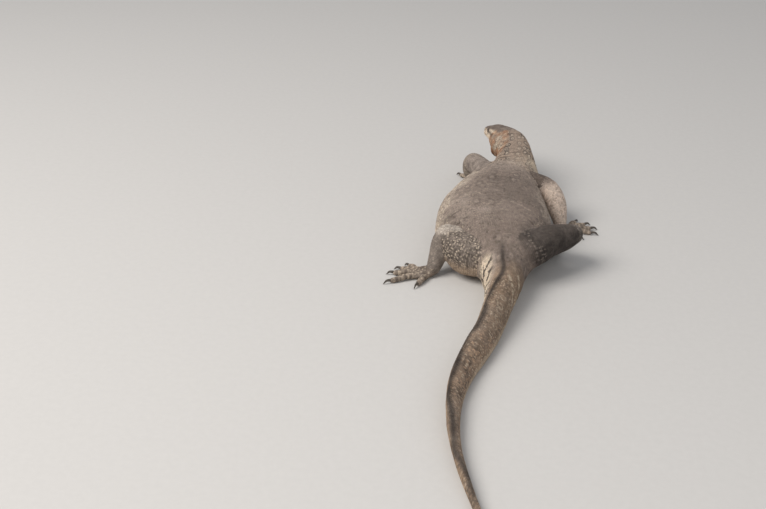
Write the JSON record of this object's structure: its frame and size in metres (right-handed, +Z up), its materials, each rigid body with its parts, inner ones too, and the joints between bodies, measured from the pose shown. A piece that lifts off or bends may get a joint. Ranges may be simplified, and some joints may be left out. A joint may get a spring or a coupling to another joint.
{
  "type": "water monitor lizard",
  "caption": "Life-size water monitor lizard lying on its belly, legs sprawled, neck and head turned to its left and a long flattened tail in a slow curve behind it",
  "frame": {"origin": "on the floor under the middle of the trunk, at the centre of the belly's flat", "axes": "+Y runs from the tail to the shoulders, +X is the animal's right, +Z is up from the floor"},
  "size_m": [0.5777, 2.01, 0.177],
  "materials": {
    "back_hide": "dry scaly hide, grey-brown and dusty, with faint pale speckles",
    "pale_hide": "dry scaly hide, tan with darker mottling",
    "tail_hide": "dry scaly hide, brown-olive with faint bands",
    "eye": "wet and glossy, dark brown",
    "claw": "dark horn, satin"
  },
  "bodies": {
    "root": {"torso": "back_hide", "neck": "back_hide", "tail_base": "tail_hide", "tail_middle": "tail_hide", "tail_rear": "tail_hide", "tail_tip": "tail_hide", "head": "pale_hide", "eye_right": "eye", "eye_left": "eye", "upper_arm_right": "back_hide", "forearm_right": "pale_hide", "hand_right": "pale_hide", "upper_arm_left": "back_hide", "forearm_left": "pale_hide", "hand_left": "pale_hide", "thigh_right": "back_hide", "shank_right": "pale_hide", "foot_right": "pale_hide", "thigh_left": "back_hide", "shank_left": "pale_hide", "foot_left": "pale_hide"}
  },
  "joints": []
}
